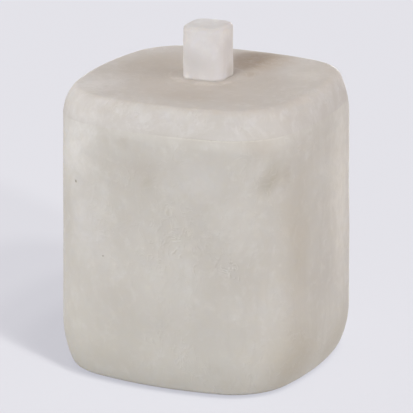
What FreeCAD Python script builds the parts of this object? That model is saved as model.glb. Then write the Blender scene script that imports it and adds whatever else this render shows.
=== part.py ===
import FreeCAD, Part
import math
import os

# Stone cotton pad holder: a soft square jar, a keyed lift-off lid, a square knob
# doweled to the lid, and four pads under the jar.
# Millimetres, +Z up. The origin is on the floor under the jar's middle, and the front faces -Y.

# Outer form, shared by the jar and the lid
outer_width = 100.0       # across two opposite sides, at the widest level
side_bow_radius = 128.0   # bow of each side, seen from above
corner_radius = 27.6      # upright corners, seen from above
draft_angle = 0.8         # degrees that the walls lean in towards the top
base_bevel = 1.2          # bevelled edge round the underside
base_bow_radius = 38.5    # wall curving in towards the underside
base_bow_angle = 23.7     # degrees turned by that curve
top_bow_radius = 42.0     # wall curving in towards the lid's shoulder
top_bow_angle = 21.6      # degrees turned by that curve
shoulder_radius = 4.0     # round between the lid's wall and its top

# Jar
jar_height = 97.9         # underside to rim
wall = 11.0               # wall at the widest level
floor_thickness = 11.0    # stone under the cavity
floor_bevel = 3.0         # bevel between the cavity's floor and walls
rim_bevel = 0.5           # bevelled outer edge of the rim
mouth_bevel = 1.0         # bevelled inner edge of the rim

# Lid
lid_height = 10.0         # rim to the lid's flat top
lid_inset = 0.35          # the lid's wall stands this far inside the jar's
lid_bevel = 0.4           # bevelled lower edge of the lid
spigot_depth = 6.0        # block under the lid that keys into the mouth
spigot_clearance = 0.7    # round that block, to the cavity's walls
spigot_bevel = 1.2        # bevelled lower edge of that block
seat_radius = 14.0        # low round seat that the knob stands on
seat_rise = 0.6           # seat above the lid's top
seat_flare = 1.4          # how far the seat's edge runs out as it meets the top

# Knob
knob_width = 16.2         # across its foot
knob_corner_radius = 4.0  # upright corners, seen from above
knob_height = 19.7        # seat to top
knob_edge_radius = 1.6    # round between the knob's sides and its top
mortise_depth = 1.2       # how far the knob's foot is let into the seat
mortise_clearance = 0.15  # round the foot, for adhesive

# Dowel between the knob and the lid
dowel_radius = 2.5
dowel_in_lid = 8.0        # length below the knob's foot
dowel_in_knob = 10.0      # length above the knob's foot
dowel_clearance = 0.1     # round the dowel and above it, for adhesive

# Foot pads
pad_thickness = 1.2
pad_radius = 6.0
pad_spread = 27.0         # from the middle to each pad's centre, along X and along Y

# How far cutting shapes reach past what they cut, and how close counts as the same level
overrun = 5.0
same_level = 0.001

# Levels above the floor
underside_level = pad_thickness
rim_level = underside_level + jar_height
lid_top_level = rim_level + lid_height
seat_level = lid_top_level + seat_rise
foot_level = seat_level - mortise_depth
knob_top_level = seat_level + knob_height
cavity_floor_level = underside_level + floor_thickness

UP = FreeCAD.Vector(0, 0, 1)
ORIGIN = FreeCAD.Vector(0, 0, 0)
QUARTER_TURN = 90.0
SIDES = 4
PAD_SIGNS = {
    "front_left": (-1, -1),
    "front_right": (1, -1),
    "back_left": (-1, 1),
    "back_right": (1, 1),
}


class SoftSquare:
    """A square with bowed sides and round corners, seen from above, whose arcs meet smoothly.

    Insets are measured inwards and keep the arcs' centres, so every inset outline runs parallel.
    """

    def __init__(self, width, bow_radius, round_radius):
        self.bow_radius = bow_radius
        self.round_radius = round_radius
        self.bow_centre = bow_radius - width / 2
        lean_share = self.bow_centre / (bow_radius - round_radius) / math.sqrt(2)
        self.bow_angle = math.degrees(math.acos(lean_share)) - QUARTER_TURN / 2
        self.round_centre = (bow_radius - round_radius) * math.sin(math.radians(self.bow_angle))

    def arcs(self):
        """Centre, radius, start and turn of the front side's arc, then of the corner after it."""
        bow_start = -QUARTER_TURN - self.bow_angle
        bow_turn = 2 * self.bow_angle
        bow = (FreeCAD.Vector(0, self.bow_centre, 0), self.bow_radius, bow_start, bow_turn)
        corner_place = FreeCAD.Vector(self.round_centre, -self.round_centre, 0)
        corner = (corner_place, self.round_radius, bow_start + bow_turn, QUARTER_TURN - bow_turn)
        return bow, corner

    def plate(self, inset, level):
        """A flat face that fills the outline at one level."""
        edges = []
        for centre, radius, start, turn in self.arcs():
            arc = Part.makeCircle(radius - inset, centre + UP * level, UP, start, start + turn)
            edges.extend(quarter_turned(arc))
        return Part.Face(Part.Wire(Part.__sortEdges__(edges)))

    def sweep(self, section):
        """A solid whose wall follows a section carried round the outline, closed by flat ends.

        Each step of the section is two (inset, level) points for a line, or three for an arc.
        """
        faces = [self.plate(*section[0][0]), self.plate(*section[-1][-1])]
        for centre, radius, start, turn in self.arcs():
            heading = math.radians(start)
            outwards = FreeCAD.Vector(math.cos(heading), math.sin(heading), 0)
            for step in section:
                points = [centre + outwards * (radius - inset) + UP * level for inset, level in step]
                patch = line_or_arc(points).revolve(centre, UP, turn)
                faces.extend(quarter_turned(patch))
        shell = Part.Shell(faces)
        shell.sewShape()
        solid = Part.Solid(shell)
        if solid.Volume < 0:
            solid.reverse()
        return solid


def quarter_turned(shape):
    """Copies of a shape on all four sides of the upright axis."""
    copies = []
    for side in range(SIDES):
        copy = shape.copy()
        copy.rotate(ORIGIN, UP, side * QUARTER_TURN)
        copies.append(copy)
    return copies


def line_or_arc(points):
    """An edge through two points, or an arc through three."""
    if len(points) == 2:
        return Part.makeLine(*points)
    return Part.Arc(*points).toShape()


def arc_step(centre_inset, centre_level, radius, first, last):
    """Three (inset, level) points of an arc whose outward normal rises from first to last, in degrees."""
    points = []
    for degrees in (first, (first + last) / 2, last):
        angle = math.radians(degrees)
        inset = centre_inset - radius * math.cos(angle)
        points.append((inset, centre_level + radius * math.sin(angle)))
    return points


def edges_at(shape, level):
    """Edges that lie flat at one level."""
    return [
        edge
        for edge in shape.Edges
        if abs(edge.BoundBox.ZMin - level) < same_level and edge.BoundBox.ZLength < same_level
    ]


outer_plan = SoftSquare(outer_width, side_bow_radius, corner_radius)


def hull(inset):
    """The outer form of jar and lid in one, from the underside to the top, set in by an inset."""
    lean = math.radians(draft_angle)
    base_turn = math.radians(base_bow_angle)
    top_turn = math.radians(top_bow_angle)

    # From the underside: a bevelled edge, then a long bow up to the leaning wall
    bow_foot = underside_level + base_bevel
    bow_level = bow_foot + base_bow_radius * math.sin(base_turn)
    base_bow = arc_step(inset + base_bow_radius, bow_level, base_bow_radius, -base_bow_angle, draft_angle)
    base_edge = ((base_bow[0][0] + base_bevel, underside_level), base_bow[0])

    # Down from the lid's top: the shoulder's round, then a second bow to the top of the wall
    shoulder_level = lid_top_level - shoulder_radius
    shoulder_reach = top_bow_radius - shoulder_radius
    top_level = shoulder_level - shoulder_reach * math.sin(top_turn)
    foot_inset, foot_of_wall = base_bow[-1]
    wall_rise = top_level + top_bow_radius * math.sin(lean) - foot_of_wall
    top_inset = foot_inset + wall_rise * math.tan(lean) + top_bow_radius * math.cos(lean)
    shoulder_inset = top_inset - shoulder_reach * math.cos(top_turn)

    top_bow = arc_step(top_inset, top_level, top_bow_radius, draft_angle, top_bow_angle)
    shoulder = arc_step(shoulder_inset, shoulder_level, shoulder_radius, top_bow_angle, QUARTER_TURN)
    return outer_plan.sweep([base_edge, base_bow, (base_bow[-1], top_bow[0]), top_bow, shoulder])


def slab(low, high):
    """A slab wider than the hull between two levels."""
    size = outer_width + 2 * overrun
    return Part.makeBox(size, size, high - low, FreeCAD.Vector(-size / 2, -size / 2, low))


def cylinder(radius, low, high):
    """An upright round bar on the middle axis between two levels."""
    return Part.makeCylinder(radius, high - low, UP * low)


def rounded_block(width, radius, low, high):
    """A square block with round upright corners, on the middle axis between two levels."""
    block = Part.makeBox(width, width, high - low, FreeCAD.Vector(-width / 2, -width / 2, low))
    uprights = [edge for edge in block.Edges if edge.BoundBox.ZLength > same_level]
    return block.makeFillet(radius, uprights)


def make_jar_body():
    """The hull up to the rim, hollowed by a cavity that runs parallel to the outline."""
    body = hull(0).common(slab(underside_level - overrun, rim_level))
    body = body.makeChamfer(rim_bevel, edges_at(body, rim_level))
    floor_edge = ((wall + floor_bevel, cavity_floor_level), (wall, cavity_floor_level + floor_bevel))
    lip = (wall, rim_level - mouth_bevel)
    mouth = (lip, (wall - mouth_bevel - overrun, rim_level + overrun))
    cavity = outer_plan.sweep([floor_edge, (floor_edge[-1], lip), mouth])
    return body.cut(cavity)


def make_lid():
    """The hull above the rim, with the knob's seat on top and the locating block underneath."""
    lid = hull(lid_inset).common(slab(rim_level, lid_top_level + overrun))
    lid = lid.makeChamfer(lid_bevel, edges_at(lid, rim_level))
    seat = Part.makeCone(seat_radius + seat_flare, seat_radius, seat_rise, UP * lid_top_level)

    fit = wall + spigot_clearance
    spigot_level = rim_level - spigot_depth
    lead_in = ((fit + spigot_bevel, spigot_level), (fit, spigot_level + spigot_bevel))
    spigot = outer_plan.sweep([lead_in, (lead_in[-1], (fit, rim_level))])

    mortise_width = knob_width + 2 * mortise_clearance
    mortise_radius = knob_corner_radius + mortise_clearance
    mortise = rounded_block(mortise_width, mortise_radius, foot_level, seat_level + overrun)
    hole = cylinder(dowel_radius + dowel_clearance, foot_level - dowel_in_lid, seat_level)
    return lid.fuse(seat).fuse(spigot).cut(mortise).cut(hole).removeSplitter()


def make_knob():
    """A square block, rounded at its corners and top, with a blind hole in its foot."""
    block = rounded_block(knob_width, knob_corner_radius, foot_level, knob_top_level)
    block = block.makeFillet(knob_edge_radius, edges_at(block, knob_top_level))
    hole_top = foot_level + dowel_in_knob + dowel_clearance
    return block.cut(cylinder(dowel_radius + dowel_clearance, foot_level - overrun, hole_top))


def make_dowel():
    """A plain cut pin."""
    return cylinder(dowel_radius, foot_level - dowel_in_lid, foot_level + dowel_in_knob)


def make_pad(x_sign, y_sign):
    """A round pad under one corner of the jar."""
    pad = cylinder(pad_radius, 0, pad_thickness)
    pad.translate(FreeCAD.Vector(x_sign * pad_spread, y_sign * pad_spread, 0))
    return pad


pieces = {
    "jar_body": make_jar_body(),
    "lid": make_lid(),
    "knob": make_knob(),
    "knob_dowel": make_dowel(),
}
for corner_name, signs in PAD_SIGNS.items():
    pieces[f"foot_pad_{corner_name}"] = make_pad(*signs)

os.makedirs("parts", exist_ok=True)
for node, shape in pieces.items():
    shape.exportStep(f"parts/{node}.step")
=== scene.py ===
import math

import bpy
import numpy as np
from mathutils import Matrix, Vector, noise


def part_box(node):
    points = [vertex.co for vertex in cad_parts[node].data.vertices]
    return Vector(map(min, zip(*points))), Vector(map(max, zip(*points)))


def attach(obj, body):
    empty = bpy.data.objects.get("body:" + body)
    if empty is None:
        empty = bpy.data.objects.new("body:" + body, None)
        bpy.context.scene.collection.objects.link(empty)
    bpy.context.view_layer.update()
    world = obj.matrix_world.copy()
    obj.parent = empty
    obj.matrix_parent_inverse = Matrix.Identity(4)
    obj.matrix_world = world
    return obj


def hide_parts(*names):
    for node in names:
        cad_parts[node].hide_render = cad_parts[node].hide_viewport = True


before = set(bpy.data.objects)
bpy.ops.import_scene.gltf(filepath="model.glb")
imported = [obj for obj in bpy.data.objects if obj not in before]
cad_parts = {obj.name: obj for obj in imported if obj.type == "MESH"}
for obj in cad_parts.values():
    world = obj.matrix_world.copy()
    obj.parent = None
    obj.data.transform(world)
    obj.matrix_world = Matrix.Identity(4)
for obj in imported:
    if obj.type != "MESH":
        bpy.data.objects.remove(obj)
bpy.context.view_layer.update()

# Stone cotton pad holder: a soft square jar of alabaster, its keyed lid with a square knob, and four pads.
# Lengths are in millimetres here and become metres in the meshes and materials.
MM = 0.001

# Outer form, as in the solids
OUTER_WIDTH = 100.0
SIDE_BOW = 128.0                 # bow of each side, seen from above
CORNER = 27.6                    # upright corners, seen from above
DRAFT = 0.8                      # degrees that the walls lean in
BASE_BEVEL = 1.2
BASE_BOW, BASE_TURN = 38.5, 23.7
UPPER = (42.0, 21.6, 4.0)        # bow radius, degrees turned, shoulder radius
FULL_UPPER = (14.4, 43.1, 3.0)   # the same where the stone was left fuller, at the left front corner

# Levels above the floor
UNDERSIDE = 1.2
CAVITY_FLOOR = 12.2
SPIGOT_LOW = 93.1
RIM = 99.1
KNOB_FOOT = 108.5
LID_TOP = 109.1
SEAT = 109.7
KNOB_TOP = 129.5

# Jar and lid
WALL = 11.0
FLOOR_ROUND = 3.0
MOUTH_ROUND = 1.0
LID_STEP = 0.05                  # the lid's wall stands this far inside the jar's
JAR_EASE, LID_EASE = 0.32, 0.22  # most that their edges are rounded at the joint
LEAST_EASE = 0.02
EDGE_HOLD = 0.04                 # rings this close to a rounded edge keep its shape
CROWN = 0.42                     # rise of the lid's top towards its middle
CROWN_RUN = 26.0                 # distance over which it rises
SPIGOT_FIT = 11.7
SPIGOT_ROUND = 1.2
SEAT_RADIUS, SEAT_FLARE = 14.0, 1.2
CROWN_END = SEAT_RADIUS + SEAT_FLARE + 1.4   # radius where the crown ends, outside the seat

# Knob
KNOB_WIDTH, KNOB_CORNER = 16.5, 5.1
KNOB_EDGE, KNOB_DOME = 1.8, 0.2  # round of its upper edge, and rise of its top
MORTISE_WIDTH, MORTISE_CORNER = 16.8, 5.2
MORTISE_EASE, MORTISE_DROP = 0.15, 0.12    # eased upper edge of the mortise
KNOB_PLACE = np.array([0.31, 0.14, 0.0])   # the knob was set a little off the middle
FILLER_RUN, FILLER_RISE = 0.25, 0.3        # fillet of filler round its foot
BLOB_RUN, BLOB_RISE = 0.5, 1.2             # how much further it goes where a blob of it was left
BLOB_BEARING, BLOB_WIDTH = 237.0, 9.0      # where that is round the knob, in degrees

SHARP_ANGLE = 50.0               # degrees between two faces from which their edge is shaded sharp


# Helpers for rings of points and the meshes through them

class SoftSquare:
    """Bowed sides and round corners, seen from above, sampled as one ring of points."""

    def __init__(self, per_side=44, per_corner=26):
        bow_centre = SIDE_BOW - OUTER_WIDTH / 2
        share = bow_centre / (SIDE_BOW - CORNER) / math.sqrt(2)
        turn = math.acos(share) - math.pi / 4
        place = (SIDE_BOW - CORNER) * math.sin(turn)
        centre, radius, headings = [], [], []
        for side in range(4):
            spin = side * math.pi / 2
            for k in range(per_side):
                centre.append(self.spun(0, bow_centre, spin))
                radius.append(SIDE_BOW)
                headings.append(spin - math.pi / 2 - turn + 2 * turn * k / per_side)
            for k in range(per_corner):
                centre.append(self.spun(place, -place, spin))
                radius.append(CORNER)
                headings.append(spin - math.pi / 2 + turn + (math.pi / 2 - 2 * turn) * k / per_corner)
        self.centre = np.array(centre)
        self.radius = np.array(radius)
        self.out = np.stack([np.cos(headings), np.sin(headings)], 1)
        self.count = len(radius)

    @staticmethod
    def spun(x, y, angle):
        """A point turned about the middle."""
        cosine = math.cos(angle)
        sine = math.sin(angle)
        return (cosine * x - sine * y, sine * x + cosine * y)

    def ring(self, inset, level):
        """Points at an inset and a level, each a number or one value for every point."""
        reach = (self.radius - inset)[:, None]
        flat = self.centre + reach * self.out
        return np.column_stack([flat, np.broadcast_to(level, self.count)])

    def bearing(self, inset):
        """Directions of the points from the middle."""
        flat = self.ring(inset, 0)
        return np.arctan2(flat[:, 1], flat[:, 0])


def arc(centre_inset, centre_level, radius, first, last, steps):
    """(inset, level) points on an arc, by the direction of its outward normal in degrees."""
    points = []
    for k in range(steps + 1):
        angle = math.radians(first + (last - first) * k / steps)
        points.append((centre_inset - radius * math.cos(angle), centre_level + radius * math.sin(angle)))
    return points


def between(first, last, steps):
    """(inset, level) points on a line, without its first end."""
    points = []
    for k in range(1, steps + 1):
        share = k / steps
        points.append((first[0] + (last[0] - first[0]) * share, first[1] + (last[1] - first[1]) * share))
    return points


def quarter_turn(steps, first=0):
    """Angles from 0 to a right angle, in even steps."""
    return [math.radians(90 * k / steps) for k in range(first, steps + 1)]


def round_square(bearing, half, corner):
    """Distance from the middle to a square with round corners, along each bearing."""
    folded = np.abs((np.asarray(bearing) + math.pi / 4) % (math.pi / 2) - math.pi / 4)
    flat = half / np.cos(folded)
    inner = half - corner
    along = inner * (np.cos(folded) + np.sin(folded))
    across = inner * (np.cos(folded) - np.sin(folded))
    rounded = along + np.sqrt(np.maximum(corner**2 - across**2, 0))
    return np.where(flat * np.sin(folded) <= inner, flat, rounded)


def polar_ring(bearing, reach, level):
    """Points round the upright axis, by their bearings, distances and levels."""
    reach = np.broadcast_to(reach, len(bearing))
    level = np.broadcast_to(level, len(bearing))
    return np.column_stack([reach * np.cos(bearing), reach * np.sin(bearing), level])


def loft(name, rings):
    """A closed mesh through rings of points, with both ends closed towards their middle."""
    rings = list(rings)
    for end in (0, -1):
        rim = rings[end]
        middle = rim.mean(0)
        inner = [middle + (rim - middle) * share for share in (0.8, 0.55, 0.3, 0.1)]
        rings = inner[::-1] + rings if end == 0 else rings + inner
    count = len(rings[0])
    points = np.concatenate(rings + [rings[0].mean(0)[None], rings[-1].mean(0)[None]])
    faces = []
    for row in range(len(rings) - 1):
        low, high = row * count, (row + 1) * count
        for k in range(count):
            after = (k + 1) % count
            faces.append((low + k, low + after, high + after, high + k))
    first_middle, last_middle = len(points) - 2, len(points) - 1
    top = (len(rings) - 1) * count
    for k in range(count):
        after = (k + 1) % count
        faces.append((first_middle, after, k))
        faces.append((last_middle, top + k, top + after))
    mesh = bpy.data.meshes.new(name)
    mesh.from_pydata((points * MM).tolist(), [], faces)
    mesh.validate()
    mesh.update()
    mesh.shade_smooth()
    mesh.set_sharp_from_angle(angle=math.radians(SHARP_ANGLE))
    piece = bpy.data.objects.new(name, mesh)
    bpy.context.scene.collection.objects.link(piece)
    return piece


def smooth_step(low, high, value):
    """0 below low, 1 above high, and a smooth rise between them."""
    share = np.clip((np.asarray(value, float) - low) / (high - low), 0, 1)
    return share * share * (3 - 2 * share)


def wander(points, size, seed):
    """Smooth unevenness between -1 and 1, for points in millimetres."""
    shift = Vector((seed * 17.3, seed * 5.9, seed * 11.1))
    return np.array([noise.noise(Vector(point) / size + shift) for point in points])


def work_by_hand(piece, layers, where):
    """Moves a piece's points along their normals by layers of (size, amount, seed), in millimetres."""
    mesh = piece.data
    count = len(mesh.vertices)
    flat = np.empty(count * 3)
    mesh.vertices.foreach_get("co", flat)
    points = flat.reshape(-1, 3)
    normals = np.array([normal.vector for normal in mesh.vertex_normals])
    lift = np.zeros(count)
    for size, amount, seed in layers:
        lift += amount * wander(points / MM, size, seed)
    lift *= where(points / MM)
    mesh.vertices.foreach_set("co", (points + normals * (lift * MM)[:, None]).ravel())
    mesh.update()


# The outer wall, shared by the jar and the lid

plan = SoftSquare()
BEARING = np.degrees(plan.bearing(0))


def lower_section():
    """The outer section round the base, from the underside to the foot of the wall."""
    turn = math.radians(BASE_TURN)
    bow_level = UNDERSIDE + BASE_BEVEL + BASE_BOW * math.sin(turn)
    edge = BASE_BEVEL / (1 - math.sin(turn))
    edge_inset = BASE_BOW * (1 - math.cos(turn)) + edge * math.cos(turn)
    section = arc(edge_inset, UNDERSIDE + edge, edge, -90, -BASE_TURN, 8)[:-1]
    return section + arc(BASE_BOW, bow_level, BASE_BOW, -BASE_TURN, DRAFT, 16)


def upper_section(foot, bow, turn, shoulder):
    """The outer section from the foot of the wall to the lid's top, always with as many points."""
    lean = math.radians(DRAFT)
    shoulder_level = LID_TOP - shoulder
    reach = bow - shoulder
    bow_level = shoulder_level - reach * math.sin(math.radians(turn))
    rise = bow_level + bow * math.sin(lean) - foot[1]
    bow_inset = foot[0] + rise * math.tan(lean) + bow * math.cos(lean)
    shoulder_inset = bow_inset - reach * math.cos(math.radians(turn))
    curve = arc(bow_inset, bow_level, bow, DRAFT, turn, 40)
    crown_edge = arc(shoulder_inset, shoulder_level, shoulder, turn, 90, 30)
    return np.array([foot] + between(foot, curve[0], 40) + curve[1:] + crown_edge[1:])


def lobe(middle, half_width):
    """1 at one bearing round the object, fading to 0 at half_width degrees on either side."""
    away = np.abs((BEARING - middle + 180) % 360 - 180)
    return np.where(away < half_width, np.cos(np.radians(90 * np.minimum(away / half_width, 1)))**2, 0)


# The shoulder isn't the same all round: fullest at the left front corner, tighter behind
FULLNESS = 0.15 + 0.85 * lobe(-132, 82)
BASE = lower_section()
EVEN = upper_section(BASE[-1], *UPPER)
FULL = upper_section(BASE[-1], *FULL_UPPER)
UPPER_POINTS = EVEN[None] + (FULL - EVEN)[None] * FULLNESS[:, None, None]


def wall_inset(level):
    """Insets of the outer wall at a level, which is a number or one value for every point."""
    levels = np.broadcast_to(level, plan.count)
    return np.array([np.interp(z, points[:, 1], points[:, 0]) for z, points in zip(levels, UPPER_POINTS)])


def wall_ring(level, step=0.0):
    """A ring on the outer wall, set in by a step."""
    return plan.ring(wall_inset(level) + step, level)


def shoulder_rings(level, step, count):
    """Rings from one level over the shoulder, evenly spaced round the curve, and the insets of the last."""
    tracks = []
    for points in UPPER_POINTS:
        start = np.array([[np.interp(level, points[:, 1], points[:, 0]), level]])
        above = np.concatenate([start, points[points[:, 1] > level + 0.01]])
        run = np.concatenate([[0], np.cumsum(np.hypot(*np.diff(above, axis=0).T))])
        stops = np.linspace(0, run[-1], count)
        insets = np.interp(stops, run, above[:, 0])
        tracks.append(np.column_stack([insets, np.interp(stops, run, above[:, 1])]))
    tracks = np.array(tracks)
    rings = [plan.ring(tracks[:, k, 0] + step, tracks[:, k, 1]) for k in range(count)]
    return rings, tracks[:, -1, 0] + step


def joint_ease(most, seed):
    """How far an edge at the joint is rounded: most at the front and behind, hardly between."""
    uneven = 0.5 + 0.5 * wander(plan.ring(2, RIM), 9, seed)
    worn = (lobe(-58, 38) + lobe(115, 80)) * (0.45 + 0.55 * uneven)
    return LEAST_EASE + (most - LEAST_EASE) * worn


# The pieces

def make_jar():
    """The jar: its outer wall, an eased rim, and the cavity with a rounded mouth and floor."""
    ease = joint_ease(JAR_EASE, 3)
    rings = [plan.ring(inset, level) for inset, level in BASE]
    rings += [wall_ring(level) for level in np.linspace(BASE[-1][1] + 1.4, RIM - 1.0, 58)]
    rings += [wall_ring(RIM - ease - gap) for gap in (0.45, 0.16, EDGE_HOLD)]
    rim_inset = wall_inset(RIM)
    for turn in quarter_turn(6):
        rings.append(plan.ring(rim_inset + ease * (1 - math.cos(turn)), RIM - ease * (1 - math.sin(turn))))
    rings.append(plan.ring(rim_inset + ease + EDGE_HOLD, RIM))
    mouth = WALL - MOUTH_ROUND
    rings += [plan.ring(inset, RIM) for inset in (rim_inset + 1.0, 5.0, 7.5, mouth - 0.4)]
    for turn in quarter_turn(6):
        drop = MOUTH_ROUND * (1 - math.cos(turn))
        rings.append(plan.ring(mouth + MOUTH_ROUND * math.sin(turn), RIM - drop))
    low = CAVITY_FLOOR + FLOOR_ROUND
    rings += [plan.ring(WALL, level) for level in np.linspace(RIM - MOUTH_ROUND, low, 41)[1:]]
    for turn in quarter_turn(7, first=1):
        drop = FLOOR_ROUND * math.sin(turn)
        rings.append(plan.ring(WALL + FLOOR_ROUND * (1 - math.cos(turn)), low - drop))
    return loft("alabaster_jar", rings)


def spigot_rings():
    """The locating block under the lid, from its eased lower edge up to the rim."""
    rings = []
    for turn in quarter_turn(5):
        rise = SPIGOT_ROUND * (1 - math.cos(turn))
        rings.append(plan.ring(SPIGOT_FIT + SPIGOT_ROUND * (1 - math.sin(turn)), SPIGOT_LOW + rise))
    return rings + [plan.ring(SPIGOT_FIT, level) for level in (95.5, 97.0, 98.5, RIM)]


def crown_rings(edge):
    """The crowned top, from insets at its edge on the soft square to the circle round the seat."""
    rings = []
    steps = (0.5, 1.1, 1.9, 2.9, 4.1, 5.4, 6.8, 8.4)
    for step in steps:
        rings.append(plan.ring(edge + step, LID_TOP + CROWN * (1 - (1 - step / CROWN_RUN)**2)))
    outer = rings[-1]
    bearing = np.arctan2(outer[:, 1], outer[:, 0])
    inner = polar_ring(bearing, CROWN_END, LID_TOP)
    left_to_rise = 1 - steps[-1] / CROWN_RUN
    for share in np.linspace(0.1, 1.0, 10):
        ring = outer + (inner - outer) * share
        ring[:, 2] = LID_TOP + CROWN * (1 - (left_to_rise * (1 - share))**2)
        rings.append(ring)
    return rings, bearing


def seat_rings(bearing):
    """The low round seat, with the square hole that takes the knob's foot."""
    rings = []
    crown_level = LID_TOP + CROWN
    for reach in np.linspace(CROWN_END - 0.3, SEAT_RADIUS - 0.8, 16):
        rise = 1 - float(smooth_step(SEAT_RADIUS - 0.4, SEAT_RADIUS + SEAT_FLARE, reach))
        rings.append(polar_ring(bearing, reach, crown_level + (SEAT - crown_level) * rise))
    mortise = round_square(bearing, MORTISE_WIDTH / 2, MORTISE_CORNER)
    seat_edge = rings[-1]
    mouth = polar_ring(bearing, mortise + MORTISE_EASE, SEAT) + KNOB_PLACE
    rings += [seat_edge + (mouth - seat_edge) * share for share in (0.3, 0.6, 0.85, 1.0)]
    for level in (SEAT - MORTISE_DROP, KNOB_FOOT - 0.05):
        rings.append(polar_ring(bearing, mortise, level) + KNOB_PLACE)
    return rings


def make_lid():
    """The lid: the locating block, the eased lower edge, the wall and shoulder, the top and the seat."""
    ease = joint_ease(LID_EASE, 8)
    rings = spigot_rings()
    rim_inset = wall_inset(RIM) + LID_STEP
    lower_edge = rim_inset + ease + EDGE_HOLD
    rings += [plan.ring(inset, RIM) for inset in (9.0, 6.0, rim_inset + 1.0, lower_edge)]
    for turn in quarter_turn(6):
        rings.append(plan.ring(rim_inset + ease * (1 - math.sin(turn)), RIM + ease * (1 - math.cos(turn))))
    rings += [wall_ring(RIM + ease + gap, LID_STEP) for gap in (EDGE_HOLD, 0.16)]
    over, edge = shoulder_rings(RIM + 0.6, LID_STEP, 44)
    crown, bearing = crown_rings(edge)
    return loft("alabaster_lid", rings + over + crown + seat_rings(bearing))


def make_knob():
    """The knob: a square block with a fillet of filler round its foot, and a rounded, slightly domed top."""
    bearing = np.linspace(0, 2 * math.pi, 192, endpoint=False)
    half = KNOB_WIDTH / 2
    side = round_square(bearing, half, KNOB_CORNER)
    blob = np.exp(-((np.degrees(bearing) - BLOB_BEARING) / BLOB_WIDTH)**2)
    spread = FILLER_RUN + BLOB_RUN * blob
    rings = [polar_ring(bearing, side, level) for level in (KNOB_FOOT, SEAT - 0.6)]
    rings.append(polar_ring(bearing, side + spread, SEAT - 0.3))
    for turn in quarter_turn(5):
        rise = (FILLER_RISE + BLOB_RISE * blob) * (1 - math.cos(turn))
        rings.append(polar_ring(bearing, side + spread * (1 - math.sin(turn)), SEAT + 0.02 + rise))
    rings += [polar_ring(bearing, side, level) for level in np.linspace(SEAT + 1.9, KNOB_TOP - KNOB_EDGE, 30)]
    for turn in quarter_turn(9, first=1):
        drawn = KNOB_EDGE * (1 - math.cos(turn))
        reach = round_square(bearing, half - drawn, KNOB_CORNER - drawn)
        rings.append(polar_ring(bearing, reach, KNOB_TOP - KNOB_EDGE * (1 - math.sin(turn))))
    flat = round_square(bearing, half - KNOB_EDGE, KNOB_CORNER - KNOB_EDGE)
    for share in (0.85, 0.65, 0.42, 0.2):
        rings.append(polar_ring(bearing, flat * share, KNOB_TOP + KNOB_DOME * (1 - share**2)))
    return loft("alabaster_knob", [ring + KNOB_PLACE for ring in rings])


def make_pad(node):
    """A stuck-on bumper: a flat disc with a rounded lower edge and a slight dish underneath."""
    low, high = (np.array(corner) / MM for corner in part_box(node))
    radius = (high[0] - low[0]) / 2
    edge = 0.45
    section = [(1.5, 0.16), (3.2, 0.12), (4.6, 0.03), (5.2, 0.0)]
    for turn in quarter_turn(6):
        section.append((radius - edge * (1 - math.sin(turn)), edge * (1 - math.cos(turn))))
    section += [(radius, 0.8), (radius - 0.05, 1.12), (radius - 0.2, high[2])]
    place = np.array([(low[0] + high[0]) / 2, (low[1] + high[1]) / 2, 0])
    bearing = np.linspace(0, 2 * math.pi, 64, endpoint=False)
    return loft("bumper_" + node, [polar_ring(bearing, reach, level) + place for reach, level in section])


def off_the_joint(points):
    """Unevenness dies away towards the joint, the underside and the seat, where pieces meet."""
    level = points[:, 2]
    away = smooth_step(0.4, 5, np.abs(level - RIM)) * smooth_step(0, 4, level - UNDERSIDE)
    seat = smooth_step(9, 13, np.hypot(points[:, 0], points[:, 1]))
    return np.where(level > RIM, away * seat, away)


def mostly_outside(points):
    """The same, with less unevenness inside the jar and on the locating block."""
    inner_reach = 41
    within = np.maximum(np.abs(points[:, 0]), np.abs(points[:, 1])) < inner_reach
    return off_the_joint(points) * np.where(within & (points[:, 2] < RIM + 2), 0.35, 1)


def above_the_foot(points):
    """The knob keeps its even foot, which fits the hole in the seat."""
    return smooth_step(SEAT + 0.5, SEAT + 4, points[:, 2])


jar = make_jar()
lid = make_lid()
knob = make_knob()
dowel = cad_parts["knob_dowel"]
pads = {node: make_pad(node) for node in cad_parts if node.startswith("foot_pad")}

work_by_hand(jar, [(34, 0.20, 1), (13, 0.07, 2), (5, 0.025, 3)], mostly_outside)
work_by_hand(lid, [(34, 0.15, 1), (15, 0.10, 4), (5, 0.03, 5)], mostly_outside)
work_by_hand(knob, [(12, 0.22, 6), (5, 0.07, 7)], above_the_foot)

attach(jar, "jar")
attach(lid, "lid")
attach(knob, "lid")
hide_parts("jar_body")
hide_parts("lid")
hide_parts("knob")
for node, pad in pads.items():
    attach(pad, "jar")
    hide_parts(node)


# Materials

def rgb(red, green, blue):
    """A colour for a node's socket."""
    return (red, green, blue, 1.0)


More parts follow.
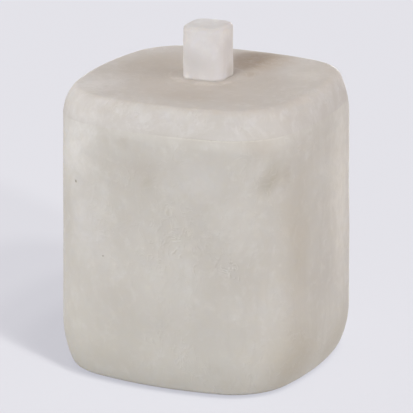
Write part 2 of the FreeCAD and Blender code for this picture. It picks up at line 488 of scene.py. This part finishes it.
class Graph:
    """A material, with short ways to add and link its nodes."""

    def __init__(self, name):
        self.material = bpy.data.materials.new(name)
        self.material.use_nodes = True
        self.tree = self.material.node_tree
        self.shader = self.tree.nodes["Principled BSDF"]
        self.place = self.add("ShaderNodeTexCoord").outputs["Object"]

    def add(self, kind, **values):
        """A new node with some of its settings."""
        node = self.tree.nodes.new(kind)
        for key, value in values.items():
            setattr(node, key, value)
        return node

    def put(self, socket, value):
        """Links a socket to another one, or sets its value."""
        if isinstance(value, bpy.types.NodeSocket):
            self.tree.links.new(value, socket)
        else:
            socket.default_value = value

    def maths(self, operation, *values):
        """A sum, product or other result of numbers."""
        node = self.add("ShaderNodeMath", operation=operation)
        for socket, value in zip(node.inputs, values):
            self.put(socket, value)
        return node.outputs[0]

    def product(self, first, *others):
        """All values multiplied together."""
        result = first
        for other in others:
            result = self.maths("MULTIPLY", result, other)
        return result

    def distance(self, first, second):
        """How far apart two numbers are."""
        return self.maths("ABSOLUTE", self.maths("SUBTRACT", first, second))

    def vector(self, operation, *values):
        """A result of vectors, which is a number for a length and else a vector."""
        node = self.add("ShaderNodeVectorMath", operation=operation)
        for socket, value in zip(node.inputs, values):
            self.put(socket, value)
        return node.outputs["Value" if operation == "LENGTH" else "Vector"]

    def noise_node(self, size, detail=3.0, roughness=0.55, place=None, stretch=None, distortion=0.0):
        """A noise node whose features are about size millimetres."""
        place = place or self.place
        if stretch:
            place = self.vector("MULTIPLY", place, stretch)
        node = self.add("ShaderNodeTexNoise")
        self.put(node.inputs["Vector"], place)
        node.inputs["Scale"].default_value = 1 / (size * MM)
        node.inputs["Detail"].default_value = detail
        node.inputs["Roughness"].default_value = roughness
        node.inputs["Distortion"].default_value = distortion
        return node

    def noise(self, *sizes, **others):
        """Noise between 0 and 1."""
        return self.noise_node(*sizes, **others).outputs[0]

    def ramp(self, value, low, high, out_low=0.0, out_high=1.0):
        """A smooth change from one result to another as a value goes from low to high."""
        node = self.add("ShaderNodeMapRange", interpolation_type="SMOOTHSTEP")
        self.put(node.inputs["Value"], value)
        for socket, number in zip(node.inputs[1:5], (low, high, out_low, out_high)):
            socket.default_value = number
        return node.outputs[0]

    def mix(self, share, first, second):
        """A mix of two colours."""
        node = self.add("ShaderNodeMix", data_type="RGBA")
        for socket, value in zip((node.inputs[0], node.inputs[6], node.inputs[7]), (share, first, second)):
            self.put(socket, value)
        return node.outputs[2]

    def patch(self, centre, radii, place, core=0.0):
        """1 inside an ellipsoid given in millimetres, fading to 0 at its surface."""
        offset = self.vector("SUBTRACT", place, [number * MM for number in centre])
        scaled = self.vector("DIVIDE", offset, [number * MM for number in radii])
        return self.ramp(self.vector("LENGTH", scaled), core, 1.0, 1.0, 0.0)

    def bump(self, height, strength, distance):
        """Raises and lowers the surface's normal by a height."""
        node = self.add("ShaderNodeBump")
        node.inputs["Strength"].default_value = strength
        node.inputs["Distance"].default_value = distance
        self.put(node.inputs["Height"], height)
        self.put(self.shader.inputs["Normal"], node.outputs[0])


class Stone(Graph):
    """Honed alabaster in layers: clouded, faintly veined, crystalline and a little translucent."""

    FROST = (0.70, 0.685, 0.68)
    RIDGE_HIGHLIGHT = (0.72, 0.70, 0.67)
    HOLLOW_SHADE = (0.40, 0.365, 0.32)
    SANDED = (0.60, 0.55, 0.50)
    SEAT_HIGHLIGHT = (0.64, 0.59, 0.55)
    RIM_HIGHLIGHT = (0.72, 0.69, 0.63)
    PIT = (0.25, 0.21, 0.17)

    def __init__(self, name, body, pale, deep):
        super().__init__(name)
        self.pale = pale
        self.deep = deep
        bend = self.vector("SUBTRACT", self.noise_node(24, 2.0).outputs["Color"], (0.5, 0.5, 0.5))
        amount = 12 * MM
        bent_by = self.vector("MULTIPLY", bend, (amount, amount, amount))
        self.warped = self.vector("ADD", self.place, bent_by)
        split = self.add("ShaderNodeSeparateXYZ")
        self.put(split.inputs[0], self.place)
        self.east, self.north, self.level = split.outputs
        self.along = self.maths("ARCTAN2", self.north, self.east)
        self.drift = self.noise(17, 4.0, 0.6, self.warped, (1.0, 1.0, 0.6))
        self.mottle = self.noise(4.5, 4.0, 0.62, self.warped)
        self.fine = self.noise(1.3, 3.0, 0.7)
        self.height = self.product(self.fine, 0.3)

        # Clouds, drifts and mottling, with faint upright streaks
        clouds = self.noise(30, 4.0, 0.58, self.warped)
        self.colour = self.mix(self.ramp(clouds, 0.34, 0.66), rgb(*deep), rgb(*body))
        self.glaze(pale, 0.45, self.ramp(self.drift, 0.48, 0.75))
        self.glaze(pale, 0.42, self.ramp(self.mottle, 0.48, 0.72))
        streaks = self.noise(2.6, 2.0, 0.5, self.warped, (1.0, 1.0, 0.2))
        self.glaze(deep, 0.5, self.ramp(streaks, 0.5, 0.75))
        self.ragged = self.ramp(self.mottle, 0.25, 0.6, 0.6, 1.0)

    def glaze(self, tint, strength, *shares):
        """Mixes a tint into the colour, by a strength times every share."""
        self.colour = self.mix(self.product(*shares, strength), self.colour, rgb(*tint))

    def by_level(self, low, high, *results):
        """A smooth change between two levels in millimetres."""
        return self.ramp(self.level, low * MM, high * MM, *results)

    def by_reach(self, near, far, *results):
        """A smooth change between two distances from the upright axis, in millimetres."""
        return self.ramp(self.reach, near * MM, far * MM, *results)

    def raise_by(self, amount):
        """Adds to the height that the bump follows."""
        self.height = self.maths("ADD", self.height, amount)

    def shaded_base(self, tint):
        """Painted shade: the stone is darkened towards the underside, which gets less light."""
        self.glaze(tint, 0.36, self.by_level(36, 2))

    def browner_and_shaded_top(self, tint):
        """The top is browner, partly the stone's tone and partly painted shade, most of all round the knob.
        """
        flat = self.add("ShaderNodeCombineXYZ")
        self.put(flat.inputs[0], self.east)
        self.put(flat.inputs[1], self.north)
        self.reach = self.vector("LENGTH", flat.outputs[0])
        upwards = self.by_level(105.7, 109.4)
        inwards = self.by_reach(44, 14, 0.22, 0.64)
        self.glaze(tint, 1.0, upwards, inwards, self.ragged)

    def stain_or_painted_light(self, centre, radii, tint, strength, exact=False):
        """A clouded patch of another tone, used both for stains and for painted light and shade, whose edge
        wanders unless its place is exact.
        """
        place = self.place if exact else self.warped
        self.glaze(tint, strength, self.patch(centre, radii, place), self.ragged)

    def veins(self):
        """Thin pale seams where a slow noise crosses its middle."""
        seam = self.noise(38, 3.0, 0.5, self.warped, (1.0, 1.0, 1.4))
        ridge = self.ramp(self.distance(seam, 0.5), 0.0, 0.014, 1.0, 0.0)
        self.glaze(self.pale, 0.18, ridge, self.ramp(self.drift, 0.4, 0.65))

    def frost(self, places):
        """Whitish crystal crusts."""
        crust = self.ramp(self.noise(3.4, 4.0, 0.68, self.warped, (1.0, 1.0, 0.7)), 0.42, 0.72)
        for centre, radii in places:
            self.glaze(self.FROST, 0.45, crust, self.patch(centre, radii, self.warped))

    def crackle(self, places=()):
        """Short broken ridges with a hollow beside each, faint all over and clear in a few places. Each ridge
        gets a painted highlight and each hollow painted shade, as well as the bump.
        """
        shown = self.product(self.ramp(self.drift, 0.42, 0.72), 0.42)
        for centre, radii, strength in places:
            clear = self.product(self.patch(centre, radii, self.warped), strength)
            shown = self.maths("ADD", shown, clear)
        shown = self.product(shown, self.ramp(self.noise(3.2, 2.0, 0.5), 0.38, 0.56))
        lines = []
        beside = (-0.5 * MM, 0.0, 0.5 * MM)
        for shift in ((0.0, 0.0, 0.0), beside):
            moved = self.vector("ADD", self.warped, shift)
            cells = self.noise(6.5, 2.0, 0.5, moved, (1.2, 1.2, 0.9), 1.5)
            edge = self.ramp(self.distance(cells, 0.5), 0.0, 0.045, 1.0, 0.0)
            lines.append(self.product(edge, shown))
        ridges, hollows = lines
        # painted shade in the hollows and painted highlight on the ridges
        self.glaze(self.HOLLOW_SHADE, 0.55, hollows)
        self.glaze(self.RIDGE_HIGHLIGHT, 0.5, ridges)
        self.raise_by(self.maths("SUBTRACT", ridges, hollows))

    def grain(self):
        """Fine darker specks all over."""
        self.glaze(self.deep, 0.15, self.ramp(self.fine, 0.35, 0.7))

    def sanded_top_and_seat_highlight(self):
        """Sanding marks round the knob's seat, and a painted highlight on the seat's edge at the front."""
        spun = self.add("ShaderNodeCombineXYZ")
        self.put(spun.inputs[0], self.reach)
        self.put(spun.inputs[1], self.product(self.along, 4 * MM))
        sanded = self.noise(1.4, 3.0, 0.6, spun.outputs[0])
        on_top = self.product(self.by_level(108.3, 108.9), self.by_reach(32, 15))
        self.glaze(self.SANDED, 0.3, self.ramp(sanded, 0.50, 0.72), on_top)
        front_bearing = -1.6
        front = self.ramp(self.distance(self.along, front_bearing), 0.6, 1.5, 1.0, 0.0)
        # painted highlight on the seat's edge, at the front only
        for middle, width, strength in ((12.0, 4.0, 0.5), (13.8, 1.3, 0.32)):
            ring = self.ramp(self.distance(self.reach, middle * MM), 0.0, width * MM, 1.0, 0.0)
            self.glaze(self.SEAT_HIGHLIGHT, strength, ring, front, self.ramp(self.mottle, 0.35, 0.6))
        self.raise_by(self.product(sanded, on_top, 0.4))

    def rim_highlight(self):
        """A painted highlight along the jar's edge at the joint, at the front."""
        middle_bearing = -1.02
        stretch = self.ramp(self.distance(self.along, middle_bearing), 0.34, 0.54, 1.0, 0.0)
        edge = self.by_level(98.4, 98.9)
        self.glaze(self.RIM_HIGHLIGHT, 0.24, edge, stretch, self.ramp(self.fine, 0.3, 0.55))

    def pit(self, centre, radius):
        """A small dark hole."""
        hole = self.patch(centre, (radius, radius, radius), self.place, core=0.35)
        self.glaze(self.PIT, 0.8, hole)
        self.height = self.maths("SUBTRACT", self.height, self.product(hole, 2.0))

    def finish(self):
        """Joins the layers to the shader."""
        shader = self.shader
        self.put(shader.inputs["Base Color"], self.colour)
        self.put(shader.inputs["Roughness"], self.ramp(self.mottle, 0.3, 0.7, 0.62, 0.5))
        self.bump(self.height, 0.4, 0.2 * MM)
        shader.inputs["Specular IOR Level"].default_value = 0.2
        shader.inputs["IOR"].default_value = 1.52
        # Light spreads inside the stone, but not where the joint would cut it off
        off_joint = self.distance(self.level, RIM * MM)
        spread = self.ramp(off_joint, 1 * MM, 6 * MM, 0.0, 0.7)
        self.put(shader.inputs["Subsurface Weight"], spread)
        shader.inputs["Subsurface Radius"].default_value = (1.0, 0.84, 0.62)
        shader.inputs["Subsurface Scale"].default_value = 2 * MM
        return self.material


def jar_alabaster():
    """The jar's stone. Stains, painted light and shade, crusts, crackle and pits are placed in millimetres on
    its sides.
    """
    stone = Stone("jar_alabaster", (0.57, 0.545, 0.513), (0.635, 0.615, 0.59), (0.53, 0.502, 0.468))
    # painted shade towards the underside
    stone.shaded_base((0.505, 0.485, 0.425))

    # Front and right sides: pale clouds, with painted light on the far right
    stone.stain_or_painted_light((-33, -43, 91), (18, 14, 24), (0.74, 0.72, 0.71), 0.75)       # upper left
    stone.stain_or_painted_light((-27, -46, 60), (15, 13, 26), (0.645, 0.625, 0.62), 0.6)      # lilac left
    stone.stain_or_painted_light((17, -48, 84), (15, 9, 9), (0.60, 0.58, 0.57), 0.6)           # lilac above the middle
    stone.stain_or_painted_light((33, -43, 72), (11, 12, 22), (0.60, 0.575, 0.545), 0.4)       # right of the middle
    stone.stain_or_painted_light((49, 14, 66), (14, 19, 56), (0.715, 0.68, 0.635), 0.78)       # painted light on the far right
    # Front and right sides: brown and dull clouds, with painted shade by the joint and towards the base
    stone.stain_or_painted_light((23, -46, 98.5), (23, 10, 5), (0.49, 0.455, 0.41), 0.65)      # painted shade under the joint
    stone.stain_or_painted_light((38, -40, 98), (13, 13, 8), (0.475, 0.43, 0.38), 0.7)         # painted shade under the joint, at the corner
    stone.stain_or_painted_light((47.0, -23, 56), (10, 14, 38), (0.475, 0.425, 0.355), 0.55)   # band on the right side
    stone.stain_or_painted_light((46, -24, 14), (18, 22, 24), (0.44, 0.392, 0.315), 0.62)      # painted shade at the right base corner
    stone.stain_or_painted_light((48, 14, 9), (14, 34, 15), (0.415, 0.37, 0.30), 0.6)          # painted shade along the right base
    stone.stain_or_painted_light((6, -49.3, 27), (52, 24, 17), (0.49, 0.465, 0.43), 0.5)       # painted shade low on the front
    stone.stain_or_painted_light((-4, -49, 86), (14, 8, 7), (0.465, 0.425, 0.39), 0.5)         # cloud
    stone.stain_or_painted_light((0.1, -49, 81), (5, 6, 5), (0.42, 0.39, 0.335), 0.6)          # its olive foot
    stone.stain_or_painted_light((-11, -48.4, 94), (4, 5, 4.5), (0.455, 0.415, 0.37), 0.5)     # small smudge above it
    stone.stain_or_painted_light((-14, -48, 78), (14, 7, 3), (0.50, 0.465, 0.435), 0.45)       # streak below it
    stone.stain_or_painted_light((41.5, -36.5, 83), (6.5, 7.5, 8), (0.37, 0.33, 0.27), 0.58)   # smudge
    stone.stain_or_painted_light((42.9, -34.5, 89), (5, 6.5, 9), (0.37, 0.33, 0.27), 0.53)     # its upper part
    stone.stain_or_painted_light((45.2, -30, 86), (3, 3.5, 9), (0.40, 0.355, 0.30), 0.53)      # its right streak
    # Back and left sides
    stone.stain_or_painted_light((20, 48, 66), (20, 12, 14), (0.46, 0.42, 0.375), 0.55)        # brown cloud behind
    stone.stain_or_painted_light((30, 46, 54), (9, 9, 6), (0.42, 0.38, 0.33), 0.5)             # its foot
    stone.stain_or_painted_light((-16, 49, 82), (18, 12, 12), (0.68, 0.66, 0.65), 0.6)         # pale drift behind
    stone.stain_or_painted_light((-4, 49, 32), (22, 12, 12), (0.65, 0.63, 0.62), 0.5)          # pale patch low behind
    stone.stain_or_painted_light((-40, 38, 70), (10, 12, 26), (0.48, 0.44, 0.395), 0.5)        # brown band at the back left
    stone.stain_or_painted_light((-49, 6, 78), (12, 16, 14), (0.47, 0.43, 0.385), 0.5)         # brown cloud on the left
    stone.stain_or_painted_light((-49, -10, 44), (12, 20, 16), (0.66, 0.64, 0.625), 0.55)      # pale patch on the left
    stone.stain_or_painted_light((-47, 26, 26), (12, 14, 12), (0.45, 0.41, 0.36), 0.5)         # dull left base

    stone.veins()
    stone.frost([
        ((-30, -45, 96), (24, 12, 7)),
        ((-14, 48, 92), (34, 14, 10)),
        ((-48, -4, 90), (12, 26, 10)),
    ])
    stone.crackle([
        ((10, -48.6, 60), (34, 14, 22), 0.5),
        ((32.0, -44.8, 52), (10, 9, 7), 1.2),
        ((-10, -48.6, 84), (16, 9, 12), 0.4),
        ((12, 49, 50), (24, 12, 16), 0.6),
        ((-49, 4, 56), (12, 22, 16), 0.6),
        ((49.5, 22, 40), (10, 14, 16), 0.4),
    ])
    stone.grain()
    # painted highlight along the jar's edge at the joint
    stone.rim_highlight()
    stone.pit((-32.8, -44.0, 76.2), 0.75)
    stone.pit((-19.9, -48.0, 50.2), 0.4)
    stone.pit((14, 49.2, 72), 0.6)
    stone.pit((-49.4, 12, 62), 0.5)
    return stone.finish()


def lid_alabaster():
    """The lid's stone, browner on top, partly by painted shade, and frosted round its side."""
    stone = Stone("lid_alabaster", (0.555, 0.528, 0.508), (0.65, 0.632, 0.625), (0.52, 0.488, 0.462))
    # browner top: partly the stone's tone, partly painted shade
    stone.browner_and_shaded_top((0.465, 0.40, 0.34))
    stone.stain_or_painted_light((-29, -43, 102), (18, 14, 9), (0.67, 0.65, 0.645), 0.6)       # pale left corner
    stone.stain_or_painted_light((-36, -28, 108.5), (17, 22, 7), (0.69, 0.665, 0.655), 0.85)   # pale left corner of the top
    stone.stain_or_painted_light((-1, -47, 104), (14, 10, 6), (0.52, 0.49, 0.48), 0.4)         # duller front
    stone.stain_or_painted_light((12, -47.5, 100), (28, 10, 4), (0.49, 0.46, 0.425), 0.6)      # painted shade along the lower edge, by the joint
    stone.stain_or_painted_light((39, -38, 100.5), (13, 13, 5), (0.49, 0.45, 0.405), 0.65)     # painted shade at the front corner, by the joint
    stone.stain_or_painted_light((-3, -29, 109.3), (17, 9, 4), (0.44, 0.385, 0.335), 0.5)      # darker left front
    stone.stain_or_painted_light((-23, 10, 109.5), (24, 26, 6), (0.43, 0.375, 0.32), 0.62)     # darker left of the knob
    stone.stain_or_painted_light((-12, 34, 108.5), (22, 12, 6), (0.45, 0.39, 0.335), 0.35)     # darker left back
    stone.stain_or_painted_light((9, 28, 109.0), (19, 22, 7), (0.36, 0.26, 0.165), 0.88)       # painted shadow of the knob, behind it
    stone.stain_or_painted_light((9, 38, 108.8), (13, 7, 5), (0.36, 0.27, 0.18), 0.5)          # painted shadow of the knob, at the back edge
    stone.stain_or_painted_light((12, 8, 109.7), (5, 6, 2), (0.36, 0.27, 0.18), 0.6)           # painted shadow of the knob, at its right
    stone.stain_or_painted_light((16, -27, 109.5), (26, 9, 4), (0.45, 0.39, 0.34), 0.4)        # darker front
    stone.stain_or_painted_light((-22, -41, 107.5), (10, 7, 5), (0.71, 0.69, 0.685), 0.65)     # painted highlight on the front edge, at the left
    stone.stain_or_painted_light((33, 18, 108.7), (16, 24, 6), (0.62, 0.585, 0.55), 0.75)      # paler right edge
    stone.stain_or_painted_light((6.8, -17, 109.4), (12, 5, 3), (0.57, 0.53, 0.495), 0.5)      # paler before the seat
    stone.veins()
    stone.frost([
        ((-8, -44, 104), (40, 12, 7)),
        ((30, -42, 103), (22, 12, 6)),
        ((-44, 0, 104), (12, 36, 7)),
        ((-6, 44, 104), (36, 12, 7)),
    ])
    stone.crackle()
    stone.grain()
    # sanding marks, and a painted highlight on the seat's front edge
    stone.sanded_top_and_seat_highlight()
    return stone.finish()


def knob_alabaster():
    """The knob's stone, the palest, with filler round its foot."""
    stone = Stone("knob_alabaster", (0.62, 0.594, 0.594), (0.705, 0.69, 0.695), (0.59, 0.56, 0.555))
    stone.stain_or_painted_light((0, 0, 109.6), (40, 40, 1.0), (0.47, 0.41, 0.35), 1.0, exact=True)          # filler
    stone.stain_or_painted_light((-4.8, -8.0, 110.5), (2.0, 2.0, 1.5), (0.76, 0.735, 0.71), 0.4, exact=True)  # blob on it
    stone.stain_or_painted_light((-1.5, -8.2, 116), (9, 5, 8), (0.535, 0.505, 0.50), 0.8)      # duller low front
    stone.stain_or_painted_light((8.4, 2, 111.5), (3, 7, 5), (0.48, 0.44, 0.41), 0.75)         # painted shade low on the right side
    stone.stain_or_painted_light((1, -8, 124), (9, 4, 9), (0.715, 0.70, 0.715), 0.7)           # pale upper front
    stone.stain_or_painted_light((8.4, -2, 126), (4, 9, 6), (0.735, 0.715, 0.72), 0.8)         # pale upper right
    stone.stain_or_painted_light((0, 0, 128.8), (40, 40, 1.3), (0.46, 0.435, 0.43), 0.6, exact=True)         # painted shade on the upper edge, damping its highlight
    stone.stain_or_painted_light((0, 0, 130.2), (40, 40, 1.6), (0.765, 0.775, 0.79), 0.55, exact=True)       # pale top
    stone.veins()
    stone.crackle()
    stone.grain()
    return stone.finish()


def brushed_steel():
    """Drawn steel with fine lines along the dowel."""
    steel = Graph("dowel_brushed_steel")
    lines = steel.noise(0.35, 3.0, 0.6, stretch=(1.0, 1.0, 0.04))
    colour = steel.mix(lines, rgb(0.50, 0.50, 0.52), rgb(0.70, 0.70, 0.71))
    steel.put(steel.shader.inputs["Base Color"], colour)
    steel.put(steel.shader.inputs["Roughness"], steel.ramp(lines, 0.3, 0.7, 0.24, 0.42))
    steel.shader.inputs["Metallic"].default_value = 1.0
    return steel.material


def soft_rubber():
    """Milky rubber with a fine grain."""
    rubber = Graph("pad_soft_rubber")
    grain = rubber.noise(0.8, 3.0, 0.6)
    colour = rubber.mix(grain, rgb(0.66, 0.66, 0.64), rgb(0.75, 0.75, 0.73))
    rubber.put(rubber.shader.inputs["Base Color"], colour)
    rubber.put(rubber.shader.inputs["Roughness"], rubber.ramp(grain, 0.3, 0.7, 0.55, 0.72))
    rubber.bump(grain, 0.2, 0.1 * MM)
    return rubber.material


def dress(piece, material):
    """Gives a piece one material all over."""
    piece.data.materials.clear()
    piece.data.materials.append(material)


dress(jar, jar_alabaster())
dress(lid, lid_alabaster())
dress(knob, knob_alabaster())
dress(dowel, brushed_steel())
pad_rubber = soft_rubber()
for pad in pads.values():
    dress(pad, pad_rubber)


# Floor and backdrop

PAPER = 0.25          # share of light that the floor's paper returns
PAPER_LIGHT = 3.1     # light on the paper that would make the whole of its tone


def looked_at(tree):
    """1 for rays that see a surface directly, in a reflection or through something, else 0."""
    path = tree.nodes.new("ShaderNodeLightPath")
    seen = path.outputs["Is Camera Ray"]
    for kind in ("Is Glossy Ray", "Is Transmission Ray"):
        either = tree.nodes.new("ShaderNodeMath")
        either.operation = "MAXIMUM"
        tree.links.new(seen, either.inputs[0])
        tree.links.new(path.outputs[kind], either.inputs[1])
        seen = either.outputs[0]
    return seen


def studio_paper():
    """Pale paper: its own tone where it is looked at, and a plain grey for the light it throws back."""
    material = bpy.data.materials.new("studio_paper")
    material.use_nodes = True
    tree = material.node_tree
    tree.nodes.clear()
    output = tree.nodes.new("ShaderNodeOutputMaterial")
    choose = tree.nodes.new("ShaderNodeMixShader")
    bounce = tree.nodes.new("ShaderNodeBsdfDiffuse")
    bounce.inputs["Color"].default_value = rgb(0.36, 0.36, 0.37)
    glow = tree.nodes.new("ShaderNodeEmission")
    glow.inputs["Color"].default_value = rgb(0.491, 0.496, 0.553)
    paper = tree.nodes.new("ShaderNodeBsdfDiffuse")
    paper.inputs["Color"].default_value = rgb(PAPER, PAPER, PAPER)
    both = tree.nodes.new("ShaderNodeAddShader")
    tree.links.new(glow.outputs[0], both.inputs[0])
    tree.links.new(paper.outputs[0], both.inputs[1])
    tree.links.new(looked_at(tree), choose.inputs[0])
    tree.links.new(bounce.outputs[0], choose.inputs[1])
    tree.links.new(both.outputs[0], choose.inputs[2])
    tree.links.new(choose.outputs[0], output.inputs["Surface"])
    return material


def make_floor(reach=4.0):
    """A wide flat floor that reaches some metres each way."""
    mesh = bpy.data.meshes.new("studio_floor")
    corners = [(-reach, -reach, 0), (reach, -reach, 0), (reach, reach, 0), (-reach, reach, 0)]
    mesh.from_pydata(corners, [], [(0, 1, 2, 3)])
    mesh.materials.append(studio_paper())
    floor = bpy.data.objects.new("studio_floor", mesh)
    bpy.context.scene.collection.objects.link(floor)
    return floor


def make_world():
    """Even warm light from all round, and a pale backdrop where it is looked at."""
    world = bpy.data.worlds.new("studio")
    world.use_nodes = True
    tree = world.node_tree
    sky = tree.nodes["Background"]
    sky.inputs["Color"].default_value = rgb(1.0, 0.87, 0.77)
    sky.inputs["Strength"].default_value = 0.36
    backdrop = tree.nodes.new("ShaderNodeBackground")
    backdrop.inputs["Color"].default_value = rgb(0.776, 0.768, 0.815)
    choose = tree.nodes.new("ShaderNodeMixShader")
    tree.links.new(looked_at(tree), choose.inputs[0])
    tree.links.new(sky.outputs[0], choose.inputs[1])
    tree.links.new(backdrop.outputs[0], choose.inputs[2])
    tree.links.new(choose.outputs[0], tree.nodes["World Output"].inputs["Surface"])
    return world


floor = make_floor()
scene = bpy.context.scene
scene.world = make_world()
scene.view_settings.view_transform = "Standard"


# Lamps

def heading(azimuth, elevation):
    """Unit vector towards a place round the object: 0 is the front, 90 the right side."""
    turn = math.radians(azimuth)
    rise = math.radians(elevation)
    return Vector((math.sin(turn) * math.cos(rise), -math.cos(turn) * math.cos(rise), math.sin(rise)))


def gathered(name, things):
    """A collection that a lamp can be aimed at."""
    group = bpy.data.collections.new(name)
    for thing in things:
        group.objects.link(thing)
    return group


def lamp(name, azimuth, elevation, level, softness, receivers, colour=(1, 1, 1)):
    """A far, soft lamp, placed in degrees. Level 1 lights a white face turned to it to plain white."""
    data = bpy.data.lights.new(name, "SUN")
    data.energy = math.pi * level
    data.angle = math.radians(softness)
    data.color = colour
    sun = bpy.data.objects.new(name, data)
    sun.rotation_euler = heading(azimuth, elevation).to_track_quat("Z", "Y").to_euler()
    scene.collection.objects.link(sun)
    sun.light_linking.receiver_collection = receivers
    return sun


the_object = gathered("lit_object", [jar, lid, knob, dowel, *pads.values()])
the_floor = gathered("lit_floor", [floor])

lamp("key", -6, 29.5, 0.70, 12, the_object, (0.92, 0.97, 1.0))
lamp("right", 80, 10, 0.38, 50, the_object)
lamp("right_back", 112, 10, 0.36, 45, the_object)
lamp("left", -72, 15, 0.23, 50, the_object, (1.0, 0.97, 0.88))
behind = lamp("behind", 200, -10, 0.6, 30, the_object)
behind.light_linking.blocker_collection = the_object

# Lamps that draw the shadow on the floor, all from one side: elevation, softness and share of its light
SHADOW_AZIMUTH = 61
for number, (elevation, softness, share) in enumerate([
    (20, 5, 0.058),
    (44, 8, 0.072),
    (60, 8, 0.058),
    (72, 8, 0.058),
]):
    level = share * PAPER_LIGHT / math.sin(math.radians(elevation))
    lamp(f"floor_{number}", SHADOW_AZIMUTH, elevation, level, softness, the_floor)


# Camera

FRAME_PIXELS = 413
FOCAL_PIXELS = 2934.7
SHIFT_PIXELS = (-0.92, 9.17)
SENSOR = 36.0
AIM = Vector((0, 0, 54.7 * MM))
DISTANCE = 1111 * MM
VIEW_AZIMUTH, VIEW_ELEVATION = 25.13, 17.47
camera_data = bpy.data.cameras.new("camera")
camera_data.sensor_fit = "HORIZONTAL"
camera_data.sensor_width = SENSOR
camera_data.lens = FOCAL_PIXELS / FRAME_PIXELS * SENSOR
camera_data.shift_x = SHIFT_PIXELS[0] / FRAME_PIXELS
camera_data.shift_y = SHIFT_PIXELS[1] / FRAME_PIXELS
camera_data.clip_end = 50
camera = bpy.data.objects.new("camera", camera_data)
toward = heading(VIEW_AZIMUTH, VIEW_ELEVATION)
camera.location = AIM + toward * DISTANCE
camera.rotation_euler = toward.to_track_quat("Z", "Y").to_euler()
scene.collection.objects.link(camera)
scene.camera = camera
